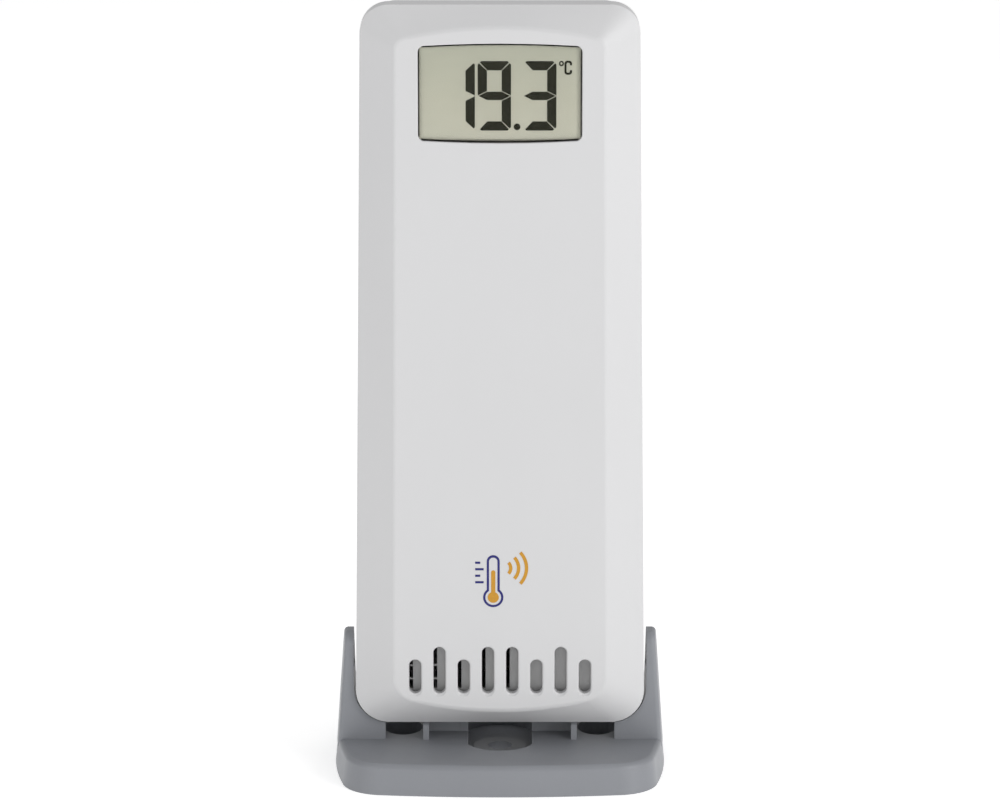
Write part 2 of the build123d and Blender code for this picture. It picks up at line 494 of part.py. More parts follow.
with BuildPart() as zebra_strip:
    box_between(-LCD_HALF_WIDTH + 1.2, LCD_HALF_WIDTH - 1.2, LCD_BACK_Y, BOARD_FRONT_Y,
                LCD_LOW + 0.6, LCD_LOW + 2.4)
save(zebra_strip.part, "zebra_strip")

# ==================================================================================================
# Vent baffle: a comb behind the slots, which keeps rain off the board
# ==================================================================================================
with BuildPart() as vent_baffle:
    clear = WALL + 0.15
    inside = [housing_outline(EDGE_Y + 1.0, clear), panel_outline(PANEL_Y + WALL, 0.65)]
    loft(inside, ruled=True)
    box_between(-16.3, 16.3, BAFFLE_FRONT_Y, BAFFLE_BACK_Y, 0, BAFFLE_TOP, mode=Mode.INTERSECT)
    for x, index, height in slot_places():
        if index in OPEN_SLOTS:
            left = x - SLOT_WIDTH / 2
            box_between(left - 0.5, left + 0.65, BAFFLE_FRONT_Y, BAFFLE_BACK_Y, SLOT_LOW + 0.4,
                        SLOT_LOW + height, mode=Mode.SUBTRACT)
    for x, index, height in slot_places():
        if index in OPEN_SLOTS[:2]:
            left = x - SLOT_WIDTH / 2
            for z in BAFFLE_RIBS:
                box_between(left - 0.6, left + 0.7, BAFFLE_FRONT_Y + 0.2, BAFFLE_BACK_Y, z, z + 0.3)
save(vent_baffle.part, "vent_baffle")

# ==================================================================================================
# Circuit board and what is soldered to it
# ==================================================================================================
with BuildPart() as circuit_board:
    box_between(-BOARD_HALF_WIDTH, BOARD_HALF_WIDTH, BOARD_FRONT_Y, BOARD_BACK_Y, BOARD_LOW, BOARD_HIGH)
    fillet(circuit_board.edges().filter_by(Axis.Y), 1.5)
    box_between(-TONGUE_HALF_WIDTH, TONGUE_HALF_WIDTH, BOARD_FRONT_Y, BOARD_BACK_Y, TONGUE_LOW,
                BOARD_LOW + 1.0)
    for x, z in BOARD_SCREWS:
        rod(x, z, BOARD_SCREW_RADIUS + 0.15, BOARD_FRONT_Y, BOARD_BACK_Y, mode=Mode.SUBTRACT)
save(circuit_board.part, "circuit_board")

with BuildPart() as microcontroller:
    box_between(-5, 5, BOARD_FRONT_Y - 1.5, BOARD_FRONT_Y - 0.2, 90, 100)
    chamfer(microcontroller.faces().sort_by(Axis.Y)[0].edges(), 0.2)
    for i in range(10):
        step = (i - 4.5) * 0.9
        box_between(step - 0.2, step + 0.2, BOARD_FRONT_Y - 0.7, BOARD_FRONT_Y, 88.8, 101.2)
        box_between(-6.2, 6.2, BOARD_FRONT_Y - 0.7, BOARD_FRONT_Y, 95 + step - 0.2, 95 + step + 0.2)
save(microcontroller.part, "microcontroller")

with BuildPart() as radio_module:
    box_between(-10, 6, BOARD_FRONT_Y - 0.8, BOARD_FRONT_Y, 52, 68)
    box_between(-8.5, 3.5, BOARD_FRONT_Y - 2.6, BOARD_FRONT_Y - 0.8, 53.5, 66.5)
    fillet(radio_module.faces().sort_by(Axis.Y)[0].edges(), 0.4)
save(radio_module.part, "radio_module")

with BuildPart() as antenna:
    with BuildLine() as route:
        FilletPolyline(
            (ANTENNA_X, BOARD_FRONT_Y, ANTENNA_LOW),
            (ANTENNA_X, BOARD_FRONT_Y - ANTENNA_RISE, ANTENNA_LOW),
            (ANTENNA_X, BOARD_FRONT_Y - ANTENNA_RISE, ANTENNA_HIGH),
            (ANTENNA_X, BOARD_FRONT_Y, ANTENNA_HIGH),
            radius=0.8,
        )
    with BuildSketch(front_plane(BOARD_FRONT_Y)):
        with Locations((ANTENNA_X, ANTENNA_LOW)):
            Circle(0.4)
    sweep(path=route.line)
save(antenna.part, "antenna")

with BuildPart() as crystal:
    with BuildSketch(front_plane(BOARD_FRONT_Y)):
        with Locations((10.5, 95)):
            SlotOverall(8, 3.2, rotation=90)
    extrude(amount=3.0)
    fillet(crystal.faces().sort_by(Axis.Y)[0].edges(), 0.5)
save(crystal.part, "crystal")

with BuildPart() as smd_components:
    for x, z, turned in SMD_PLACES:
        half_x, half_z = (0.6, 1.0) if turned else (1.0, 0.6)
        box_between(x - half_x, x + half_x, BOARD_FRONT_Y - 0.8, BOARD_FRONT_Y, z - half_z, z + half_z)
save(smd_components.part, "smd_components")

with BuildPart() as electrolytic_capacitor:
    rod(-13.0, 78.0, 2.5, BOARD_FRONT_Y - 3.2, BOARD_FRONT_Y)
    fillet(electrolytic_capacitor.faces().sort_by(Axis.Y)[0].edges(), 0.4)
save(electrolytic_capacitor.part, "electrolytic_capacitor")

with BuildPart() as temperature_sensor:
    low = TONGUE_LOW + 1.0
    box_between(-1.5, 1.5, BOARD_FRONT_Y - 1.1, BOARD_FRONT_Y, low, low + 3.0)
    chamfer(temperature_sensor.faces().sort_by(Axis.Y)[0].edges(), 0.2)
    box_between(-2.1, 2.1, BOARD_FRONT_Y - 0.4, BOARD_FRONT_Y, low + 0.4, low + 0.9)
    box_between(-2.1, 2.1, BOARD_FRONT_Y - 0.4, BOARD_FRONT_Y, low + 2.1, low + 2.6)
save(temperature_sensor.part, "temperature_sensor")

with BuildPart() as board_screws:
    for x, z in BOARD_SCREWS:
        rod(x, z, BOARD_SCREW_RADIUS, PANEL_Y + WALL + 0.8, BOARD_BACK_Y)
        rod(x, z, BOARD_SCREW_HEAD, BOARD_BACK_Y, BOARD_BACK_Y + 1.1)
    for x, z in BOARD_SCREWS:
        box_between(x - 1.1, x + 1.1, BOARD_BACK_Y + 0.5, BOARD_BACK_Y + 1.1, z - 0.2, z + 0.2,
                    mode=Mode.SUBTRACT)
        box_between(x - 0.2, x + 0.2, BOARD_BACK_Y + 0.5, BOARD_BACK_Y + 1.1, z - 1.1, z + 1.1,
                    mode=Mode.SUBTRACT)
save(board_screws.part, "board_screws")

# ==================================================================================================
# The two controls behind the battery door
# ==================================================================================================
with BuildPart() as unit_switch:
    box_between(BUTTON_X - 3, BUTTON_X + 3, BOARD_BACK_Y, SWITCH_TOP_Y - 0.6, CONTROL_Z - 3, CONTROL_Z + 3)
    rod(BUTTON_X, CONTROL_Z, 1.7, SWITCH_TOP_Y - 0.6, SWITCH_TOP_Y)
save(unit_switch.part, "unit_switch")

with BuildPart() as unit_button:
    rod(BUTTON_X, CONTROL_Z, BUTTON_RADIUS, SWITCH_TOP_Y + BUTTON_TRAVEL + 0.1, BUTTON_TOP_Y)
    rod(BUTTON_X, CONTROL_Z, BUTTON_RADIUS + 0.9, 2.0, LEDGE_Y - 1.1 - 0.1)
    fillet(unit_button.faces().sort_by(Axis.Y)[-1].edges(), 0.4)
save(unit_button.part, "unit_button")

with BuildPart() as channel_switch:
    box_between(KNOB_X - 4.5, KNOB_X + 4.5, BOARD_BACK_Y, SWITCH_TOP_Y, CONTROL_Z - 2.2, CONTROL_Z + 2.2)
    groove = KNOB_HALF_WIDTH + KNOB_TRAVEL + 0.2
    box_between(KNOB_X - groove, KNOB_X + groove, SWITCH_TOP_Y - 1.2, SWITCH_TOP_Y,
                CONTROL_Z - KNOB_HALF_HEIGHT - 0.2, CONTROL_Z + KNOB_HALF_HEIGHT + 0.2, mode=Mode.SUBTRACT)
save(channel_switch.part, "channel_switch")

with BuildPart() as channel_knob:
    box_between(KNOB_X - KNOB_HALF_WIDTH, KNOB_X + KNOB_HALF_WIDTH, SWITCH_TOP_Y - 0.9, KNOB_TOP_Y,
                CONTROL_Z - KNOB_HALF_HEIGHT, CONTROL_Z + KNOB_HALF_HEIGHT)
    fillet(channel_knob.faces().sort_by(Axis.Y)[-1].edges(), 0.3)
save(channel_knob.part, "channel_knob")

# ==================================================================================================
# Batteries and their contacts
# ==================================================================================================
CELL_LIFT = CONTACT_THICKNESS + 0.1
LEFT_LOW = BAY_HIGH - CELL_LIFT - CELL_LENGTH
RIGHT_LOW = BAY_LOW + CELL_LIFT


def make_cell(x, low, upright):
    """One AA cell in the open builder, its button end up or down."""
    start, sign = (low, 1) if upright else (low + CELL_LENGTH, -1)
    with BuildSketch(Plane.XZ.offset(-CELL_Y)) as profile:
        with BuildLine():
            Polyline(
                (x, start),
                (x + 5.8, start),
                (x + 5.8, start + sign * 0.3),
                (x + CELL_RADIUS, start + sign * 0.3),
                (x + CELL_RADIUS, start + sign * (CELL_LENGTH - 1.4)),
                (x + 2.75, start + sign * (CELL_LENGTH - 1.1)),
                (x + 2.75, start + sign * CELL_LENGTH),
                (x, start + sign * CELL_LENGTH),
                close=True,
            )
        make_face()
    revolve(profile.sketch, axis=Axis((x, CELL_Y, 0), (0, 0, 1)))


with BuildPart() as battery_left:
    make_cell(-CELL_X, LEFT_LOW, True)
save(battery_left.part, "battery_left")

with BuildPart() as battery_right:
    make_cell(CELL_X, RIGHT_LOW, False)
save(battery_right.part, "battery_right")


def contact_spring(x, low, high):
    """A coiled contact spring standing on z = low."""
    wire = 0.35
    with BuildPart() as coil:
        with BuildLine() as path:
            Helix(pitch=(high - low - 2 * wire) / 3, height=high - low - 2 * wire, radius=3.2,
                  center=(x, CELL_Y, low + wire))
        with BuildSketch(Plane(origin=path.line @ 0, z_dir=path.line % 0)):
            Circle(wire)
        sweep(path=path.line)
    return coil.part


with BuildPart() as battery_bridge:
    box_between(-13.6, 13.6, CELL_Y - 5.5, CELL_Y + 5.5, BAY_LOW, BAY_LOW + CONTACT_THICKNESS)
    fillet(battery_bridge.edges().filter_by(Axis.Z), 1.5)
save(battery_bridge.part, "battery_bridge")

with BuildPart() as battery_contacts:
    for x in (-CELL_X, CELL_X):
        box_between(x - 5.5, x + 5.5, CELL_Y - 5.5, CELL_Y + 5.5, BAY_HIGH - CONTACT_THICKNESS, BAY_HIGH)
        box_between(x - TAIL_HALF_WIDTH, x + TAIL_HALF_WIDTH, BOARD_BACK_Y, CELL_Y - 5.0,
                    BAY_HIGH - CONTACT_THICKNESS, BAY_HIGH)
save(battery_contacts.part, "battery_contacts")

springs = [
    contact_spring(-CELL_X, BAY_LOW + CONTACT_THICKNESS, LEFT_LOW),
    contact_spring(CELL_X, RIGHT_LOW + CELL_LENGTH, BAY_HIGH - CONTACT_THICKNESS),
]
save(Part() + springs, "battery_springs")

# ==================================================================================================
# Battery door, its seal and its screw
# ==================================================================================================
with BuildPart() as battery_door:
    extrude(door_outline(BACK_Y, DOOR_GAP), amount=BACK_Y - DOOR_INNER_Y)
    fillet(battery_door.faces().sort_by(Axis.Y)[-1].edges(), 0.4)
    # A shallow rim under the door locates it inside the seal.
    box_between(-SEAL_HALF_WIDTH + SEAL_WIDTH + 0.6, SEAL_HALF_WIDTH - SEAL_WIDTH - 0.6,
                DOOR_INNER_Y - 0.15, DOOR_INNER_Y, BAY_LOW + 1, LEDGE_HIGH - 1)
    for i in range(GRIP_COUNT):
        z = GRIP_LOW + i * GRIP_PITCH
        box_between(-GRIP_HALF_WIDTH, GRIP_HALF_WIDTH, BACK_Y - 0.5, BACK_Y, z - 0.4, z + 0.4,
                    mode=Mode.SUBTRACT)
    rod(0, DOOR_SCREW_Z, DOOR_SCREW_RADIUS + 0.15, DOOR_INNER_Y, BACK_Y, mode=Mode.SUBTRACT)
    rod(0, DOOR_SCREW_Z, DOOR_SCREW_HEAD + 0.2, DOOR_INNER_Y + 0.8, BACK_Y, mode=Mode.SUBTRACT)
save(battery_door.part, "battery_door")

with BuildPart() as door_seal:
    with BuildSketch(front_plane(DOOR_INNER_Y)):
        with Locations((0, (SEAL_LOW + SEAL_HIGH) / 2)):
            RectangleRounded(2 * SEAL_HALF_WIDTH, SEAL_HIGH - SEAL_LOW, 1.2)
            RectangleRounded(2 * (SEAL_HALF_WIDTH - SEAL_WIDTH), SEAL_HIGH - SEAL_LOW - 2 * SEAL_WIDTH, 0.6,
                             mode=Mode.SUBTRACT)
    extrude(amount=DOOR_INNER_Y - SEAT_Y - 0.05)
save(door_seal.part, "door_seal")

with BuildPart() as door_screw:
    rod(0, DOOR_SCREW_Z, DOOR_SCREW_RADIUS, 4.2, DOOR_INNER_Y + 0.8)
    rod(0, DOOR_SCREW_Z, DOOR_SCREW_HEAD, DOOR_INNER_Y + 0.8, BACK_Y - 0.1)
    for half_x, half_z in ((1.4, 0.25), (0.25, 1.4)):
        box_between(-half_x, half_x, BACK_Y - 0.7, BACK_Y - 0.1, DOOR_SCREW_Z - half_z,
                    DOOR_SCREW_Z + half_z, mode=Mode.SUBTRACT)
save(door_screw.part, "door_screw")

# ==================================================================================================
# What joins the two shells
# ==================================================================================================
with BuildPart() as housing_screws:
    for x, z in HOUSING_SCREWS:
        rod(x, z, HOUSING_SCREW_RADIUS, -8.5, HOUSING_SCREW_SEAT_Y)
        rod(x, z, HOUSING_SCREW_HEAD, HOUSING_SCREW_SEAT_Y, HOUSING_SCREW_SEAT_Y + 1.7)
    for x, z in HOUSING_SCREWS:
        for half_x, half_z in ((1.4, 0.25), (0.25, 1.4)):
            box_between(x - half_x, x + half_x, HOUSING_SCREW_SEAT_Y + 0.8, HOUSING_SCREW_SEAT_Y + 1.7,
                        z - half_z, z + half_z, mode=Mode.SUBTRACT)
save(housing_screws.part, "housing_screws")

with BuildPart() as shell_gasket:
    gasket_outer = housing_outline(SPLIT_Y + GROOVE - 0.1, REAR_STEP + 0.65)
    gasket_inner = housing_outline(SPLIT_Y + GROOVE - 0.1, REAR_STEP + 1.25)
    extrude(gasket_outer - gasket_inner, amount=GROOVE - 0.1)
save(shell_gasket.part, "shell_gasket")
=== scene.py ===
import json
import math

import bpy
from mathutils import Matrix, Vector


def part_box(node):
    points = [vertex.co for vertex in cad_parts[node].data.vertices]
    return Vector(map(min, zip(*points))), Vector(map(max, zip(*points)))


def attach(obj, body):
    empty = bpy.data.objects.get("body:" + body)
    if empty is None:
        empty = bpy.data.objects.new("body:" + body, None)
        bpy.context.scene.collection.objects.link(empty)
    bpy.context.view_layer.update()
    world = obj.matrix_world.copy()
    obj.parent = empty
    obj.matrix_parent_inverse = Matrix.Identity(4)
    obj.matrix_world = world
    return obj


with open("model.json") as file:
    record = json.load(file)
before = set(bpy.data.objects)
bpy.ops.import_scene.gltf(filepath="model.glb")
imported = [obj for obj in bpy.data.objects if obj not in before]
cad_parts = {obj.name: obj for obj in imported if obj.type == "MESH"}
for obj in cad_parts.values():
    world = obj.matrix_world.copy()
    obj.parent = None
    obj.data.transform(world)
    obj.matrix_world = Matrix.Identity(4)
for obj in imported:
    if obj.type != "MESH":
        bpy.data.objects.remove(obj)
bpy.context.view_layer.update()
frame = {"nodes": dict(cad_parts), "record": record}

MM = 0.001

# ---- places on the part, from its CAD model --------------------------------------------------------
WINDOW_Z, WINDOW_HALF_WIDTH = 124.2 * MM, 14.08 * MM
WINDOW_HALF_HEIGHT, WINDOW_BOW = 8.13 * MM, 0.45 * MM  # at the corners, and the extra at mid-width
GAP_SHADE_WIDTH = 0.12 * MM  # painted shade: a black line round the window, standing for the shadowed gap between lens and housing
DISPLAY_LOW, DISPLAY_HIGH = 115.5 * MM, 132.5 * MM  # painted shade: the display glass is darker towards the top between these
CAPACITOR_X_LOW, CAPACITOR_X_HIGH = -15.5 * MM, -10.5 * MM

# ---- camera: a long lens in front of the sensor, looking down a little ---------------------------
TARGET = Vector((0.0, 0.0, 66.72 * MM))
DISTANCE, PITCH, LENS_MM = 0.8, math.radians(14.0), 161.5

scene = bpy.context.scene
camera_data = bpy.data.cameras.new("camera")
camera_data.lens = LENS_MM
camera_data.sensor_width = 36.0
camera_data.clip_start = 0.01
camera = bpy.data.objects.new("camera", camera_data)
scene.collection.objects.link(camera)
camera.location = TARGET + DISTANCE * Vector((0.0, -math.cos(PITCH), math.sin(PITCH)))
camera.rotation_euler = (math.radians(90.0) - PITCH, 0.0, 0.0)
scene.camera = camera
scene.view_settings.view_transform = "Standard"


# ==================================================================================================
# Node helpers
# ==================================================================================================
class Graph:
    """A material's node tree with short calls for the nodes used here."""

    def __init__(self, name):
        self.material = bpy.data.materials.new(name)
        self.material.use_nodes = True
        self.tree = self.material.node_tree
        self.tree.nodes.clear()
        self.out = self.add("ShaderNodeOutputMaterial")
        self.coords = self.add("ShaderNodeTexCoord").outputs["Object"]

    def add(self, kind, **values):
        node = self.tree.nodes.new(kind)
        for key, value in values.items():
            setattr(node, key, value)
        return node

    def link(self, a, b):
        self.tree.links.new(a, b)

    def scaled(self, x, y, z):
        """The object's coordinates, stretched by a factor along each axis."""
        node = self.add("ShaderNodeMapping")
        node.inputs["Scale"].default_value = (x, y, z)
        self.link(self.coords, node.inputs["Vector"])
        return node.outputs["Vector"]

    def noise(self, scale, detail=3.0, rough=0.5, vector=None):
        node = self.add("ShaderNodeTexNoise")
        node.inputs["Scale"].default_value = scale
        node.inputs["Detail"].default_value = detail
        node.inputs["Roughness"].default_value = rough
        self.link(vector or self.coords, node.inputs["Vector"])
        return node.outputs["Fac"]

    def cells(self, scale, feature="F1", vector=None):
        node = self.add("ShaderNodeTexVoronoi", feature=feature)
        node.inputs["Scale"].default_value = scale
        self.link(vector or self.coords, node.inputs["Vector"])
        return node.outputs["Distance"]

    def axis(self, name):
        """One of the object's own coordinates, in metres."""
        node = self.add("ShaderNodeSeparateXYZ")
        self.link(self.coords, node.inputs[0])
        return node.outputs[name]

    def math(self, operation, a, b=0.0, clamp=False):
        node = self.add("ShaderNodeMath", operation=operation, use_clamp=clamp)
        for socket, value in zip(node.inputs, (a, b)):
            if isinstance(value, (int, float)):
                socket.default_value = value
            else:
                self.link(value, socket)
        return node.outputs[0]

    def ramp(self, factor, *stops, mode="LINEAR"):
        """Colours along a factor: each stop is (position, (r, g, b)) or (position, grey)."""
        node = self.add("ShaderNodeValToRGB")
        ramp = node.color_ramp
        ramp.interpolation = mode
        while len(ramp.elements) < len(stops):
            ramp.elements.new(0.5)
        for element, (position, colour) in zip(ramp.elements, stops):
            element.position = position
            rgb = (colour,) * 3 if isinstance(colour, (int, float)) else colour
            element.color = (*rgb, 1.0)
        self.link(factor, node.inputs["Fac"])
        return node.outputs["Color"]

    def spread(self, value, low, high, to_low, to_high):
        """A value between low and high, mapped to between to_low and to_high."""
        node = self.add("ShaderNodeMapRange")
        limits = {"From Min": low, "From Max": high, "To Min": to_low, "To Max": to_high}
        for key, number in limits.items():
            node.inputs[key].default_value = number
        self.link(value, node.inputs["Value"])
        return node.outputs["Result"]

    def mix(self, factor, a, b, blend="MIX"):
        node = self.add("ShaderNodeMix", data_type="RGBA", blend_type=blend)
        sockets = [s for s in node.inputs if s.enabled]
        for socket, value in zip(sockets, (factor, a, b)):
            if isinstance(value, (int, float)):
                socket.default_value = value
            elif isinstance(value, tuple):
                socket.default_value = (*value, 1.0)
            else:
                self.link(value, socket)
        return [s for s in node.outputs if s.enabled][0]

    def bump(self, height, strength, distance, normal=None):
        node = self.add("ShaderNodeBump")
        node.inputs["Strength"].default_value = strength
        node.inputs["Distance"].default_value = distance
        self.link(height, node.inputs["Height"])
        if normal is not None:
            self.link(normal, node.inputs["Normal"])
        return node.outputs["Normal"]

    def principled(self, color, roughness, normal=None, **constants):
        """The surface. Constants go straight on the shader's own sockets, by their names."""
        node = self.add("ShaderNodeBsdfPrincipled")
        for key, value in (("Base Color", color), ("Roughness", roughness)):
            if isinstance(value, (int, float)):
                node.inputs[key].default_value = value
            elif isinstance(value, tuple):
                node.inputs[key].default_value = (*value, 1.0)
            else:
                self.link(value, node.inputs[key])
        if normal is not None:
            self.link(normal, node.inputs["Normal"])
        for key, value in constants.items():
            node.inputs[key.replace("_", " ")].default_value = value
        self.link(node.outputs[0], self.out.inputs["Surface"])
        return self.material


def moulded(name, color, variation=0.03, roughness=(0.34, 0.42), grain=0.00025, depth=0.00001, **constants):
    """Injection-moulded plastic: faint flow marks in colour and gloss, and a fine surface grain."""
    g = Graph(name)
    flow = g.noise(45.0, 4.0, 0.55, g.scaled(1.0, 1.0, 0.45))
    dark = tuple(c * (1.0 - variation) for c in color)
    tint = g.ramp(flow, (0.3, dark), (0.7, color))
    gloss = g.spread(g.noise(180.0, 3.0), 0.3, 0.7, *roughness)
    fine = g.noise(1.0 / grain, 2.0, 0.6)
    swell = g.noise(260.0, 1.0)
    relief = g.math("ADD", g.math("MULTIPLY", fine, 0.6), g.math("MULTIPLY", swell, 0.4))
    return g.principled(tint, gloss, g.bump(relief, 0.5, depth), **constants)


def spark_eroded(name, color, variation=0.05, roughness=(0.46, 0.6), cell=0.00035, depth=0.00002,
                 **constants):
    """Plastic with the matte, pitted texture of a spark-eroded mould."""
    g = Graph(name)
    flow = g.noise(60.0, 5.0, 0.6)
    pits = g.cells(1.0 / cell, "SMOOTH_F1")
    fine = g.noise(1.3 / cell, 3.0, 0.7)
    dark = tuple(c * (1.0 - variation) for c in color)
    tint = g.mix(g.spread(pits, 0.1, 0.7, 0.0, 0.35), g.ramp(flow, (0.3, dark), (0.7, color)), dark)
    gloss = g.spread(g.math("ADD", g.noise(140.0), g.math("MULTIPLY", fine, 0.4)), 0.5, 0.9, *roughness)
    relief = g.math("ADD", pits, g.math("MULTIPLY", fine, 0.5))
    return g.principled(tint, gloss, g.bump(relief, 0.45, depth), **constants)


def plated(name, color, roughness=(0.22, 0.36), stretch=(1.0, 1.0, 1.0), tarnish=0.12):
    """Bright plated metal: drawn lines along its length, and a little tarnish."""
    g = Graph(name)
    lines = g.noise(2200.0, 2.0, 0.5, g.scaled(*stretch))
    cloud = g.noise(420.0, 4.0, 0.6)
    dark = tuple(c * (1.0 - tarnish * 2.5) for c in color)
    tint = g.ramp(cloud, (0.35, dark), (0.6, color))
    gloss = g.spread(lines, 0.3, 0.7, *roughness)
    return g.principled(tint, gloss, g.bump(lines, 0.25, 0.000006), Metallic=1.0)


def rubber(name, color):
    """Matte elastomer with a dusty bloom."""
    g = Graph(name)
    bloom = g.noise(900.0, 5.0, 0.65)
    light = tuple(min(1.0, c * 1.7 + 0.01) for c in color)
    tint = g.ramp(bloom, (0.4, color), (0.75, light))
    gloss = g.spread(bloom, 0.3, 0.7, 0.7, 0.9)
    return g.principled(tint, gloss, g.bump(g.noise(4500.0, 2.0), 0.4, 0.00001))


# ==================================================================================================
# Materials
# ==================================================================================================
def lens_material():
    """Clear moulded window: see-through, with a Fresnel gloss, hairline haze and a black line of painted
    shade round its edge.
    """
    g = Graph("lens_clear")
    haze = g.noise(700.0, 4.0, 0.6, g.scaled(0.3, 1.0, 1.6))
    clear = g.add("ShaderNodeBsdfTransparent")
    g.link(g.ramp(haze, (0.3, (0.965, 0.972, 0.95)), (0.7, (0.98, 0.985, 0.965))), clear.inputs["Color"])
    gloss = g.add("ShaderNodeBsdfGlossy")
    gloss.inputs["Color"].default_value = (0.95, 0.95, 0.95, 1.0)
    g.link(g.spread(haze, 0.3, 0.7, 0.03, 0.07), gloss.inputs["Roughness"])
    fresnel = g.add("ShaderNodeFresnel")
    fresnel.inputs["IOR"].default_value = 1.2
    mix = g.add("ShaderNodeMixShader")
    g.link(fresnel.outputs[0], mix.inputs[0])
    g.link(clear.outputs[0], mix.inputs[1])
    g.link(gloss.outputs[0], mix.inputs[2])
    # Painted shade: a thin black line round the window's edge stands for the shadowed gap between the lens
    # and the housing.
    x, z = g.math("ABSOLUTE", g.axis("X")), g.math("ABSOLUTE", g.math("SUBTRACT", g.axis("Z"), WINDOW_Z))
    across = g.math("MULTIPLY", g.math("MULTIPLY", x, x), WINDOW_BOW / WINDOW_HALF_WIDTH ** 2)
    edge = g.math("SUBTRACT", WINDOW_HALF_HEIGHT + WINDOW_BOW - GAP_SHADE_WIDTH, across)
    gap_shade_mask = g.math("MAXIMUM", g.math("GREATER_THAN", z, edge),
                     g.math("GREATER_THAN", x, WINDOW_HALF_WIDTH - GAP_SHADE_WIDTH))
    # painted shade: flat black for the shadowed gap between lens and housing
    black = g.add("ShaderNodeBsdfDiffuse")
    black.inputs["Color"].default_value = (0.012, 0.012, 0.012, 1.0)
    gap_shaded = g.add("ShaderNodeMixShader")
    g.link(gap_shade_mask, gap_shaded.inputs[0])
    g.link(mix.outputs[0], gap_shaded.inputs[1])
    g.link(black.outputs[0], gap_shaded.inputs[2])
    g.link(gap_shaded.outputs[0], g.out.inputs["Surface"])
    return g.material


def lcd_material():
    """Display glass: grey-green, with the fine cloudiness of the reflector behind the polariser, and
    painted shade making it darker towards the top.
    """
    g = Graph("lcd_glass")
    speck = g.noise(5200.0, 2.0, 0.7)
    cloud = g.noise(70.0, 3.0)
    # Painted shade: the glass is lighter at the bottom and darker towards the top.
    height = g.spread(g.axis("Z"), DISPLAY_LOW, DISPLAY_HIGH, 0.0, 1.0)
    shaded_tint = g.ramp(height, (0.0, (0.70, 0.675, 0.605)), (0.45, (0.655, 0.635, 0.56)),
                  (1.0, (0.585, 0.58, 0.51)))
    tint = g.mix(g.spread(cloud, 0.35, 0.65, 0.0, 0.25), shaded_tint, (0.68, 0.67, 0.60))
    tint = g.mix(g.spread(speck, 0.4, 0.7, 0.0, 0.18), tint, (0.50, 0.495, 0.43))
    relief = g.bump(speck, 0.08, 0.000004)
    return g.principled(tint, g.spread(cloud, 0.3, 0.7, 0.28, 0.36), relief, Specular_IOR_Level=0.15)


def ink_material():
    """Lit strokes: nearly black, a little lighter where the crystal is thin."""
    g = Graph("lcd_ink")
    cloud = g.noise(1600.0, 3.0)
    tint = g.ramp(cloud, (0.35, (0.022, 0.022, 0.014)), (0.7, (0.034, 0.034, 0.022)))
    return g.principled(tint, g.spread(cloud, 0.3, 0.7, 0.3, 0.4), Specular_IOR_Level=0.05)


def board_material():
    """Green solder resist with copper tracks under it."""
    g = Graph("board_green")
    tracks = g.add("ShaderNodeTexBrick")
    swap = g.add("ShaderNodeCombineXYZ")
    g.link(g.axis("X"), swap.inputs[0])
    g.link(g.axis("Z"), swap.inputs[1])
    g.link(swap.outputs[0], tracks.inputs["Vector"])
    pattern = {"Scale": 180.0, "Mortar Size": 0.06, "Brick Width": 1.1, "Row Height": 0.28}
    for key, value in pattern.items():
        tracks.inputs[key].default_value = value
    cloud = g.noise(300.0, 4.0)
    resist = g.ramp(cloud, (0.3, (0.012, 0.105, 0.040)), (0.7, (0.018, 0.135, 0.052)))
    over_copper = (0.035, 0.215, 0.075)
    tint = g.mix(tracks.outputs["Fac"], resist, over_copper)
    relief = g.bump(tracks.outputs["Fac"], 0.4, 0.00003)
    return g.principled(tint, g.spread(cloud, 0.3, 0.7, 0.28, 0.4), relief)


def battery_material(name, low, high, flip):
    """A printed battery sleeve: dark, with a copper-coloured band at the button end, and bare ends."""
    g = Graph(name)
    along = g.spread(g.axis("Z"), low, high, 1.0 if flip else 0.0, 0.0 if flip else 1.0)
    scuff = g.noise(500.0, 5.0, 0.65, g.scaled(1.0, 1.0, 0.15))
    sleeve = g.ramp(along, (0.0, (0.55, 0.54, 0.52)), (0.012, (0.018, 0.020, 0.024)),
                    (0.70, (0.60, 0.27, 0.09)), (0.967, (0.55, 0.54, 0.52)), mode="CONSTANT")
    tint = g.mix(g.spread(scuff, 0.55, 0.8, 0.0, 0.2), sleeve, (0.35, 0.34, 0.33))
    metal = g.ramp(along, (0.0, 1.0), (0.012, 0.0), (0.70, 0.75), (0.967, 1.0), mode="CONSTANT")
    shader = g.principled(tint, g.spread(scuff, 0.3, 0.7, 0.24, 0.36), g.bump(scuff, 0.1, 0.00002))
    node = [n for n in g.tree.nodes if n.type == "BSDF_PRINCIPLED"][0]
    g.link(metal, node.inputs["Metallic"])
    return shader


def capacitor_material():
    """Aluminium can with a dark stripe on one side."""
    g = Graph("capacitor_can")
    across = g.spread(g.axis("X"), CAPACITOR_X_LOW, CAPACITOR_X_HIGH, 0.0, 1.0)
    stripe = g.ramp(across, (0.0, 0.03), (0.3, 0.62), mode="CONSTANT")
    cloud = g.noise(1500.0, 3.0)
    tint = g.mix(g.spread(cloud, 0.3, 0.7, 0.0, 0.12), stripe, (0.45, 0.45, 0.46))
    return g.principled(tint, g.spread(cloud, 0.3, 0.7, 0.25, 0.4), Metallic=0.9)


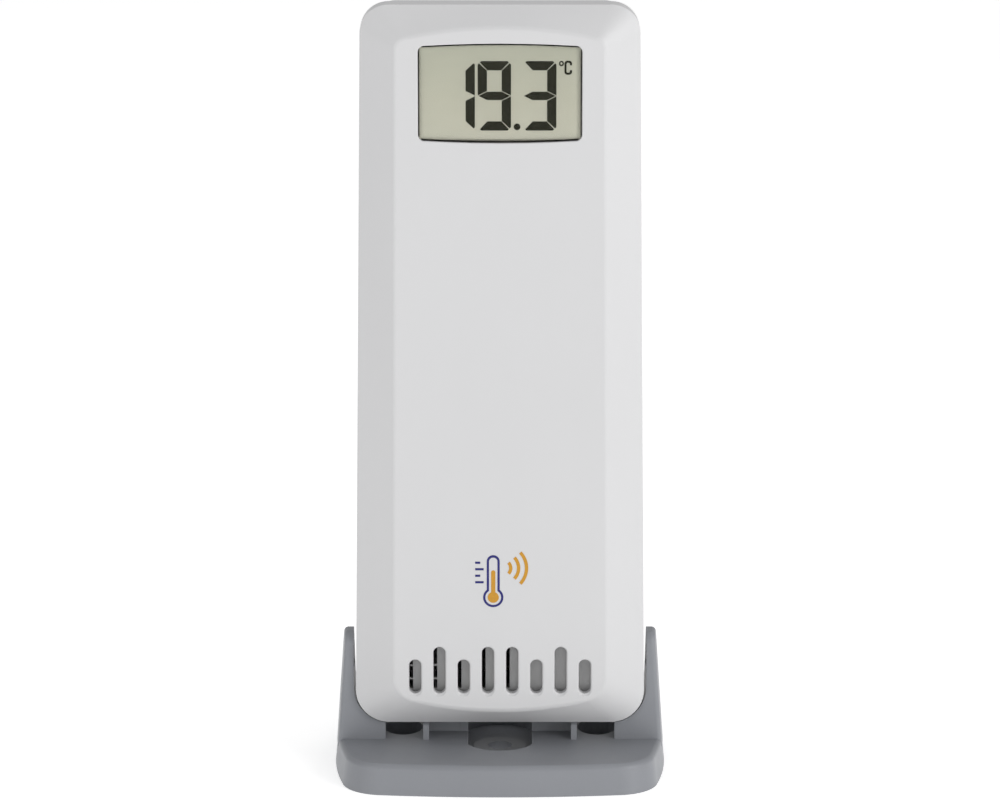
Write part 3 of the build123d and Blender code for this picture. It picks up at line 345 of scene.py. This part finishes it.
WHITE = (0.625, 0.625, 0.632)
GREY = (0.245, 0.254, 0.275)
NAVY, AMBER = (0.010, 0.010, 0.155), (0.578, 0.279, 0.013)
PRINT_GREY = (0.16, 0.16, 0.17)
MATERIALS = {
    "housing_white": moulded("housing_white", WHITE, 0.02, (0.36, 0.44), Coat_Weight=0.08,
                             Coat_Roughness=0.25),
    "stand_grey": spark_eroded("stand_grey", GREY, 0.06, (0.34, 0.44), depth=0.00001),
    "frame_white": moulded("frame_white", (0.70, 0.70, 0.70), 0.04, (0.45, 0.55)),
    "button_white": moulded("button_white", (0.72, 0.72, 0.70), 0.04, (0.4, 0.5)),
    "baffle_grey": spark_eroded("baffle_grey", (0.45, 0.45, 0.45), 0.08, (0.6, 0.75)),
    "knob_black": spark_eroded("knob_black", (0.022, 0.022, 0.023), 0.2, (0.45, 0.6)),
    "chip_black": spark_eroded("chip_black", (0.020, 0.020, 0.021), 0.25, (0.5, 0.65), 0.0002, 0.00001),
    "rubber_grey": rubber("rubber_grey", (0.055, 0.055, 0.057)),
    "screw_steel": plated("screw_steel", (0.60, 0.60, 0.61), (0.25, 0.4), (1.0, 0.1, 1.0)),
    "shield_tin": plated("shield_tin", (0.62, 0.62, 0.60), (0.28, 0.42), (0.1, 1.0, 1.0)),
    "contact_nickel": plated("contact_nickel", (0.68, 0.65, 0.60), (0.2, 0.32), (0.15, 1.0, 1.0)),
    "reflector_foil": plated("reflector_foil", (0.66, 0.66, 0.60), (0.3, 0.4), (1.0, 1.0, 0.1), 0.05),
    "lens_clear": lens_material(),
    "lcd_glass": lcd_material(),
    "lcd_ink": ink_material(),
    "board_green": board_material(),
    "capacitor_can": capacitor_material(),
}


def paint(obj, material):
    """Gives every face of an object one material."""
    slots = obj.data.materials
    if not slots:
        slots.append(material)
    for i in range(len(slots)):
        slots[i] = material


slot_of = {part["node"]: part["material_slot"] for part in frame["record"]["subparts"]}
for node, obj in frame["nodes"].items():
    if slot_of[node] in MATERIALS:
        paint(obj, MATERIALS[slot_of[node]])
for node, flip in (("battery_left", False), ("battery_right", True)):
    low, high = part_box(node)
    paint(frame["nodes"][node], battery_material(node + "_sleeve", low.z, high.z, flip))


# ==================================================================================================
# Printed and raised marks, a few hundredths of a millimetre proud of what they are on
# ==================================================================================================
def ink(name, color):
    """Pad-printed ink: flat colour with a slightly uneven lay-down."""
    g = Graph(name)
    patch = g.noise(2500.0, 4.0, 0.6)
    tint = g.ramp(patch, (0.3, tuple(c * 0.85 for c in color)), (0.7, color))
    return g.principled(tint, g.spread(patch, 0.3, 0.7, 0.4, 0.55), g.bump(patch, 0.2, 0.000005))


INKS = {
    "navy": ink("ink_navy", NAVY),
    "amber": ink("ink_amber", AMBER),
    "grey": ink("ink_grey", PRINT_GREY),
}
MARK_HALF_THICKNESS = 0.04  # a mark is sunk by this much and stands proud by as much


def circle(x, z, radius, start=0.0, end=360.0, count=48):
    """Points round a circle, or along an arc of it with both of the arc's ends."""
    step = math.radians(end - start) / count
    turns = count if end - start >= 360.0 else count + 1
    angles = [math.radians(start) + step * i for i in range(turns)]
    return [(x + radius * math.cos(a), z + radius * math.sin(a)) for a in angles]


def band(x, z, radius, width, start, end):
    """An arc with a width, as one closed outline."""
    outer = circle(x, z, radius + width / 2, start, end, 24)
    inner = circle(x, z, radius - width / 2, start, end, 24)
    return outer + inner[::-1]


def bar(x0, z0, x1, z1):
    """A rectangle between two corners."""
    return [(x0, z0), (x1, z0), (x1, z1), (x0, z1)]


def thermometer(x, bulb_z, top_z, stem, bulb):
    """The outline of a thermometer: a round-topped stem over a round bulb."""
    half = math.degrees(math.asin(stem / bulb))
    return (circle(x, top_z - stem, stem, 0.0, 180.0, 16)
            + circle(x, bulb_z, bulb, 90.0 + half, 450.0 - half, 40))


def mark(name, outlines, material, body, y, outward, place):
    """A thin flat mark in the XZ plane at depth y, facing outward (-1 or 1): outlines in millimetres."""
    curve = bpy.data.curves.new(name, "CURVE")
    curve.dimensions = "2D"
    curve.fill_mode = "BOTH"
    curve.extrude = MARK_HALF_THICKNESS * MM
    for outline in outlines:
        spline = curve.splines.new("POLY")
        spline.points.add(len(outline) - 1)
        for point, (px, pz) in zip(spline.points, outline):
            point.co = (-outward * (px + place[0]) * MM, (pz + place[1]) * MM, 0.0, 1.0)
        spline.use_cyclic_u = True
    settle(name, curve, material, body, y, outward)


def settle(name, curve, material, body, y, outward, x=0.0, z=0.0):
    """Turns a flat curve or text into a mesh standing in the XZ plane at depth y, riding a body."""
    source = bpy.data.objects.new(name + "_curve", curve)
    scene.collection.objects.link(source)
    bpy.context.view_layer.update()
    evaluated = source.evaluated_get(bpy.context.evaluated_depsgraph_get())
    mesh = bpy.data.meshes.new_from_object(evaluated)
    bpy.data.objects.remove(source)
    for vertex in mesh.vertices:
        a, b, c = vertex.co
        vertex.co = (x - outward * a, y * MM + outward * c, z + b)
    mesh.name = name
    mesh.materials.clear()
    mesh.materials.append(material)
    obj = bpy.data.objects.new(name, mesh)
    scene.collection.objects.link(obj)
    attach(obj, body)


PANEL_Y, EMBLEM_PLACE = -12.0, (0.0, 36.6)
STEM_X, BULB_Z = -1.2, -3.0
GLASS = [thermometer(STEM_X, BULB_Z, 4.8, 1.15, 1.8), thermometer(STEM_X, BULB_Z, 4.35, 0.75, 1.4)]
COLUMN = [thermometer(STEM_X, BULB_Z, 2.0, 0.38, 1.0)]
TICK_LEFT, TICK_LONG_END, TICK_SHORT_END, TICK_HEIGHT = -4.4, -2.9, -3.5, 0.4
TICKS = [bar(TICK_LEFT, z, TICK_LONG_END if i % 2 == 0 else TICK_SHORT_END, z + TICK_HEIGHT)
         for i, z in enumerate((-0.4, 0.8, 2.0, 3.2))]
WAVES = [band(0.4, 2.4, radius, 0.6, -42.0, 42.0) for radius in (1.5, 2.9, 4.3)]
EMBLEM = (("emblem_thermometer", GLASS, "navy"), ("emblem_column", COLUMN, "amber"),
          ("emblem_scale", TICKS, "navy"), ("emblem_waves", WAVES, "amber"))
for name, outlines, colour in EMBLEM:
    mark(name, outlines, INKS[colour], "sensor", PANEL_Y, -1, EMBLEM_PLACE)


def lettering(name, text, size, material, body, y, outward, x, z):
    """A numeral in the built-in font, standing in the XZ plane, centred on (x, z) in millimetres."""
    curve = bpy.data.curves.new(name, "FONT")
    curve.body = text
    curve.size = size * MM
    curve.extrude = MARK_HALF_THICKNESS * MM
    curve.align_x, curve.align_y = "CENTER", "CENTER"
    settle(name, curve, material, body, y, outward, x * MM, z * MM)


LEDGE_Y, DOOR_Y = 5.1, 12.0
KNOB_X, KNOB_MARK_Z, KNOB_STEP, NUMERAL_SIZE = 6.0, 105.7, 2.0, 1.9
for i, numeral in enumerate("321"):
    lettering("channel_" + numeral, numeral, NUMERAL_SIZE, INKS["grey"], "sensor", LEDGE_Y, 1,
              KNOB_X + KNOB_STEP * (i - 1), KNOB_MARK_Z)
DOOR_ARROW, ARROW_PLACE = [(-1.6, 2.2), (1.6, 2.2), (0.0, -0.6)], (0.0, 91.0)
mark("door_arrow", [DOOR_ARROW], INKS["grey"], "battery_door", DOOR_Y, 1, ARROW_PLACE)


# ==================================================================================================
# Stage: floor and light
# ==================================================================================================
FLOOR_GLOW = 0.45


def floor_material():
    """White paper over a light table: a faint fibre, and a glow from below."""
    g = Graph("floor_paper")
    fibre = g.noise(900.0, 4.0, 0.6)
    tint = g.ramp(fibre, (0.3, 0.93), (0.7, 0.95))
    relief = g.bump(fibre, 0.05, 0.00002)
    return g.principled(tint, g.spread(fibre, 0.3, 0.7, 0.75, 0.9), relief,
                        Emission_Color=(1.0, 1.0, 1.0, 1.0), Emission_Strength=FLOOR_GLOW)


def make_floor(size=14.0):
    """A flat square floor under the stand."""
    mesh = bpy.data.meshes.new("floor")
    half = size / 2
    corners = [(-half, -half, 0.0), (half, -half, 0.0), (half, half, 0.0), (-half, half, 0.0)]
    mesh.from_pydata(corners, [], [(0, 1, 2, 3)])
    floor = bpy.data.objects.new("floor", mesh)
    scene.collection.objects.link(floor)
    mesh.materials.append(floor_material())


def make_light(name, place, aim, size, watts):
    """A soft rectangular light at place, turned towards aim."""
    data = bpy.data.lights.new(name, "AREA")
    data.shape = "RECTANGLE"
    data.size, data.size_y = size
    data.energy = watts
    light = bpy.data.objects.new(name, data)
    scene.collection.objects.link(light)
    light.location = place
    light.rotation_euler = (Vector(aim) - Vector(place)).to_track_quat("-Z", "Y").to_euler()


def make_world(strength):
    """An even white sky."""
    world = bpy.data.worlds.new("studio")
    scene.world = world
    world.use_nodes = True
    background = world.node_tree.nodes["Background"]
    background.inputs["Color"].default_value = (1.0, 1.0, 1.0, 1.0)
    background.inputs["Strength"].default_value = strength


make_floor()
make_world(strength=0.50)
make_light("left_box", (-0.75, -0.85, 0.40), (0.0, 0.0, 0.07), (0.6, 0.8), 1.3)
make_light("right_box", (0.85, -0.70, 0.40), (0.0, 0.0, 0.07), (0.6, 0.8), 5.0)
make_light("top_box", (0.0, 0.1, 1.2), (0.0, 0.0, 0.05), (1.0, 0.8), 1.8)

bpy.context.view_layer.update()
